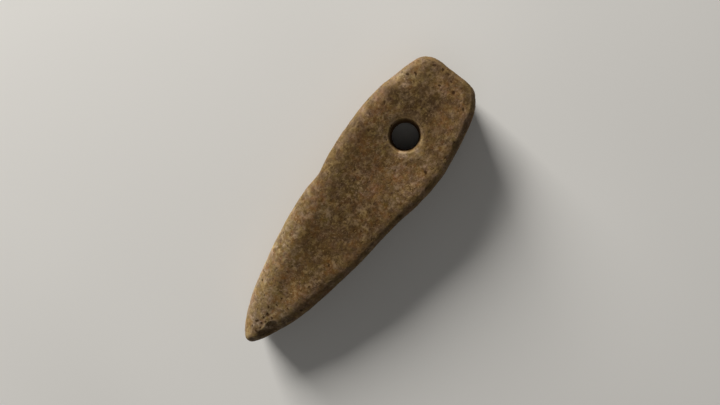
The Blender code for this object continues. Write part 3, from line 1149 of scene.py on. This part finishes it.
@dataclass(frozen=True)
class StoneFinish:
    """Weathered fine-grained brown stone with soil in its hollows and rubbed ridges.

    Earth, umber, tan, rust, olive, soil and hollow are laid over one another. Stain, glow,
    bleach, golden and ashen multiply the colour that is under them; the stain also paints shade,
    and the glow and the bleach also paint light, where their patches stand for shade and light.
    A value that is named for a mask and a tone is how much of the tone lies where the mask is
    full.
    """

    earth: Colour = (0.109, 0.0615, 0.0225, 1.0)
    umber: Colour = (0.058, 0.0320, 0.0122, 1.0)
    tan: Colour = (0.266, 0.1810, 0.0920, 1.0)
    rust: Colour = (0.123, 0.0505, 0.0132, 1.0)
    olive: Colour = (0.100, 0.0670, 0.0160, 1.0)
    soil: Colour = (0.030, 0.0145, 0.0045, 1.0)
    hollow: Colour = (0.040, 0.0190, 0.0060, 1.0)
    # The stain darkens with dark tone and with painted shade; the glow and the bleach lighten with
    # warm and pale tone and with painted light.
    stain_and_shade: Colour = (0.80, 0.775, 0.66, 1.0)
    warmth_and_light: Colour = (1.90, 1.90, 2.25, 1.0)
    bleach_and_light: Colour = (1.76, 2.00, 2.40, 1.0)
    golden: Colour = (1.00, 1.00, 0.82, 1.0)
    ashen: Colour = (1.00, 1.00, 1.19, 1.0)
    # Clouds, in the order in which they are laid. Tan clouds and flecks are there at a least
    # share everywhere, and at more where they spread.
    umber_clouds: Cloud = Cloud(Noise(0.026, 4.0, 0.60, 0.4), 0.38, 0.62, 0.65)
    rust_clouds: Cloud = Cloud(Noise(0.0095, 5.0, 0.66, 0.2), 0.44, 0.62, 0.75)
    olive_clouds: Cloud = Cloud(Noise(0.0120, 4.0, 0.66, 0.3), 0.47, 0.66, 0.60)
    tan_spread: Cloud = Cloud(Noise(0.0130, 3.0, 0.55, 0.2), 0.38, 0.64, 0.48)
    tan_clouds: Cloud = Cloud(Noise(0.0036, 4.0, 0.60, 0.1), 0.43, 0.70)
    tan_least: float = 0.30
    dark_clouds: Cloud = Cloud(Noise(0.0042, 4.0, 0.62, 0.1), 0.46, 0.68, 0.78)
    fleck_spread: Cloud = Cloud(Noise(0.014, 2.0, 0.5, 0.5), 0.40, 0.62, 0.36)
    flecks: Cloud = Cloud(Noise(0.0014, 3.0, 0.60, 0.1), 0.50, 0.70)
    fleck_least: float = 0.26
    specks: Cloud = Cloud(Noise(0.0016, 3.0, 0.60, 0.1), 0.52, 0.70, 0.55)
    tinge: Cloud = Cloud(Noise(0.0060, 4.0, 0.64, 0.2), 0.38, 0.62)
    # What the wear masks and the patches of tone, painted light and painted shade add.
    patch_umber_and_shade: float = 0.88
    relief_limits: Pair = (0.52, 0.92)
    ridge_tan: float = 0.30
    hollow_soil: float = 0.45
    worn_tan: float = 0.28
    struck_umber: float = 0.10
    pit_limits: Pair = (0.05, 0.60)
    pit_hollow: float = 0.90
    # Gloss and the finest grain.
    roughness: float = 0.74
    roughness_noise: Noise = Noise(0.010, 3.0, 0.6)
    roughness_swing: float = 0.16
    worn_polish: float = 0.12
    pit_dullness: float = 0.15
    specular: float = 0.12
    coarse_grain: Noise = Noise(0.0022, 3.0, 0.62)
    fine_grain: Noise = Noise(0.0009, 3.0, 0.68)
    fine_grain_share: float = 0.6
    pinholes: Cloud = Cloud(Noise(0.0019, 2.0, 0.6, 0.3), 0.60, 0.70, 0.8)
    grain_depth: float = 0.00022

    def dress(self, piece: bpy.types.Object) -> None:
        """Give a piece the stone material.

        Args:
            piece: Object with the wear masks, and masks of tone and of painted light and shade,
            on its points.
        """
        graph = Graph("weathered_stone")
        place = graph.link(graph.node("ShaderNodeTexCoord"), "Object")
        masks = {mask: graph.mask(mask) for mask in Mask}
        shader = graph.node(
            "ShaderNodeBsdfPrincipled",
            Base_Color=self.colour(graph, place, masks),
            Roughness=self.gloss(graph, place, masks),
            Normal=self.grain(graph, place),
            Specular_IOR_Level=self.specular,
        )
        graph.node("ShaderNodeOutputMaterial", Surface=graph.link(shader))
        piece.data.materials.append(graph.material)

    def colour(self, graph: Graph, place: Link, masks: dict[Mask, Link]) -> Link:
        """Colour of the stone: its clouds, the wear on them, flecks, a tinge, patches of tone, of
        painted light and of painted shade, and pits.

        Args:
            graph: The material's nodes.
            place: Object coordinates.
            masks: The wear masks, and the masks of tone and of painted light and shade.

        Returns:
            The colour.
        """
        colour = graph.mix(graph.cloud(place, self.umber_clouds), self.earth, self.umber)
        colour = graph.mix(graph.cloud(place, self.rust_clouds), colour, self.rust)
        colour = graph.mix(graph.cloud(place, self.olive_clouds), colour, self.olive)
        # Umber patches: dark tone in places, and painted shade on the hole's rim that faces away from
        # the light, on the nose's right bevel and end, and on the right shoulder by the hole.
        colour = graph.mix(masks[Mask.UMBER_AND_SHADE] * self.patch_umber_and_shade, colour, self.umber)
        share = self.tan_least + graph.cloud(place, self.tan_spread)
        colour = graph.mix(graph.cloud(place, self.tan_clouds) * share, colour, self.tan)
        colour = graph.mix(graph.cloud(place, self.dark_clouds), colour, self.umber)
        ridges = graph.ease(masks[Mask.RELIEF], *self.relief_limits)
        colour = graph.mix(ridges * self.ridge_tan, colour, self.tan)
        hollows = graph.ease(1 - masks[Mask.RELIEF], *self.relief_limits)
        colour = graph.mix(hollows * self.hollow_soil, colour, self.soil)
        colour = graph.mix(masks[Mask.WORN] * self.worn_tan, colour, self.tan)
        share = self.fleck_least + graph.cloud(place, self.fleck_spread)
        colour = graph.mix(graph.cloud(place, self.flecks) * share, colour, self.tan)
        colour = graph.mix(graph.cloud(place, self.specks), colour, self.soil)
        tinge = graph.mix(graph.cloud(place, self.tinge), self.golden, self.ashen)
        colour = graph.mix(1.0, colour, tinge, Blend.MULTIPLY)
        colour = graph.mix(masks[Mask.STRUCK] * self.struck_umber, colour, self.umber)
        # The umber patches also multiply the colour darker: painted shade where they stand for shade.
        colour = graph.mix(masks[Mask.UMBER_AND_SHADE], colour, self.stain_and_shade, Blend.MULTIPLY)
        # Warm patches: warmer, lighter tone, and painted light on the left shoulder near the butt.
        colour = graph.mix(masks[Mask.WARM_AND_LIT], colour, self.warmth_and_light, Blend.MULTIPLY)
        # Pale mask: paler tone, and painted light on the hole's lit rim and on the left flank, which
        # faces the light and is also rubbed.
        colour = graph.mix(masks[Mask.PALE_AND_LIT], colour, self.bleach_and_light, Blend.MULTIPLY)
        pits = graph.ease(masks[Mask.PITTED], *self.pit_limits)
        return graph.mix(pits * self.pit_hollow, colour, self.hollow)

    def gloss(self, graph: Graph, place: Link, masks: dict[Mask, Link]) -> Link:
        """Roughness: a little handled polish on the worn edges, dull soil in the hollows.

        Args:
            graph: The material's nodes.
            place: Object coordinates.
            masks: The wear masks.

        Returns:
            The roughness.
        """
        swing = (graph.noise(place, self.roughness_noise) - 0.5) * self.roughness_swing
        wear = masks[Mask.PITTED] * self.pit_dullness - masks[Mask.WORN] * self.worn_polish
        return self.roughness + swing + wear

    def grain(self, graph: Graph, place: Link) -> Link:
        """Finest relief, bumped and not modelled: coarse and fine grains, less the pinholes.

        Args:
            graph: The material's nodes.
            place: Object coordinates.

        Returns:
            The bumped normal.
        """
        fine = graph.noise(place, self.fine_grain) * self.fine_grain_share
        height = graph.noise(place, self.coarse_grain) + fine - graph.cloud(place, self.pinholes)
        bump = graph.node("ShaderNodeBump", Strength=1.0, Distance=self.grain_depth, Height=height)
        return graph.link(bump)


@dataclass(frozen=True)
class FloorFinish:
    """Plain pale matt floor."""

    colour: Colour = (0.74, 0.735, 0.72, 1.0)
    shade: Colour = (0.70, 0.695, 0.68, 1.0)
    clouds: Cloud = Cloud(Noise(0.4), 0.35, 0.65)
    roughness: float = 0.85
    specular: float = 0.2

    def dress(self, piece: bpy.types.Object) -> None:
        """Give the floor its paint, with a barely seen cloud in its tone.

        Args:
            piece: The floor.
        """
        graph = Graph("pale_floor")
        place = graph.link(graph.node("ShaderNodeTexCoord"), "Object")
        shader = graph.node(
            "ShaderNodeBsdfPrincipled",
            Base_Color=graph.mix(graph.cloud(place, self.clouds), self.colour, self.shade),
            Roughness=self.roughness,
            Specular_IOR_Level=self.specular,
        )
        graph.node("ShaderNodeOutputMaterial", Surface=graph.link(shader))
        piece.data.materials.append(graph.material)


@dataclass(frozen=True)
class Softbox:
    """Square studio light.

    Attributes:
        name: Name of the light.
        bearing: Direction of the light from the head, in degrees from +X towards +Y.
        elevation: Height of the light above the floor, in degrees.
        distance: Distance from the head.
        side: Length of a side.
        power: Watts.
        tint: Colour of the light.
    """

    name: str
    bearing: float
    elevation: float
    distance: float
    side: float
    power: float
    tint: Triple = (1.0, 0.97, 0.92)

    def place(self) -> Vector:
        """Work out where the light stands from its bearing, elevation and distance.

        Returns:
            The light's place.
        """
        turn, rise = math.radians(self.bearing), math.radians(self.elevation)
        level = math.cos(rise)
        return self.distance * Vector((level * math.cos(turn), level * math.sin(turn), math.sin(rise)))

    def build(self) -> None:
        """Hang the light, aimed at the head."""
        lamp = bpy.data.lights.new(self.name, "AREA")
        lamp.shape = "SQUARE"
        lamp.size = self.side
        lamp.energy = self.power
        lamp.color = self.tint
        light = bpy.data.objects.new(self.name, lamp)
        light.location = self.place()
        light.rotation_euler = self.place().to_track_quat("Z", "Y").to_euler()
        bpy.context.scene.collection.objects.link(light)


@dataclass
class Studio:
    """Floor, lights and camera around the head.

    The camera looks down on the lying head from just beside the hole's axis, as the photo
    does, with the cutting edge at the lower left of the picture.
    """

    photo_width: int = 720
    photo_height: int = 405
    view_height_angle: float = 45.0
    sensor_width: float = 36.0
    nearest_seen: float = 0.005
    camera_place: Triple = (-0.0623, 0.0018, 0.3640)
    camera_forward: Triple = (0.14643, 0.00207, -0.98922)
    camera_down: Triple = (0.78324, 0.61057, 0.11722)
    floor_half: float = 4.0
    floor_gap: float = 0.00005
    fill: Colour = (0.86, 0.85, 0.83, 1.0)
    fill_strength: float = 0.10
    lights: tuple[Softbox, ...] = (
        Softbox("key", -110.0, 22.0, 2.60, 1.20, 118.0),
        Softbox("overhead", 40.0, 70.0, 1.60, 1.20, 2.0),
    )

    def build_floor(self) -> None:
        """Lay the floor just under the head."""
        across = np.array([-1.0, 1.0]) * self.floor_half
        x, y = np.meshgrid(across, across)
        corners = np.column_stack((x.ravel(), y.ravel(), np.full(x.size, -self.floor_gap)))
        mesh = bpy.data.meshes.new("floor")
        mesh.from_pydata(corners, [], [(0, 1, 3, 2)])
        floor = bpy.data.objects.new("floor", mesh)
        bpy.context.scene.collection.objects.link(floor)
        FloorFinish().dress(floor)

    def build_lights(self) -> None:
        """Hang the softboxes and set the even fill around them."""
        for softbox in self.lights:
            softbox.build()
        world = bpy.data.worlds.new("studio")
        world.use_nodes = True
        background = world.node_tree.nodes["Background"]
        background.inputs["Color"].default_value = self.fill
        background.inputs["Strength"].default_value = self.fill_strength
        bpy.context.scene.world = world

    def build_camera(self) -> None:
        """Set the camera where the photo was taken from."""
        lens = bpy.data.cameras.new("camera")
        lens.sensor_width = self.sensor_width
        half_height = math.tan(math.radians(self.view_height_angle / 2))
        lens.lens = lens.sensor_width / 2 / (half_height * self.photo_width / self.photo_height)
        lens.clip_start = self.nearest_seen
        forward = Vector(self.camera_forward).normalized()
        down = Vector(self.camera_down)
        down = (down - forward * down.dot(forward)).normalized()
        right = down.cross(forward)
        camera = bpy.data.objects.new("camera", lens)
        turn = Matrix((right, -down, -forward)).transposed().to_4x4()
        camera.matrix_world = Matrix.Translation(self.camera_place) @ turn
        bpy.context.scene.collection.objects.link(camera)
        bpy.context.scene.camera = camera

    def build(self) -> None:
        """Set up the whole studio."""
        bpy.context.scene.view_settings.view_transform = "Standard"
        self.build_floor()
        self.build_lights()
        self.build_camera()
        log.info("studio: a floor, %d softboxes and a camera", len(self.lights))


def main() -> None:
    """Build the studio and the head, dress it and hang it on the frame."""
    logging.basicConfig(level=logging.INFO, format="%(name)s %(message)s")
    Studio().build()
    low, high = (Vector(corner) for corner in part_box(NODE))
    length, width, thickness = high - low
    head = AxeHead(length, width, thickness).build()
    StoneFinish().dress(head)
    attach(head, BODY)
    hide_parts(NODE)
    log.info("%s stands for %s", head.name, NODE)


if __name__ == "__main__":
    main()
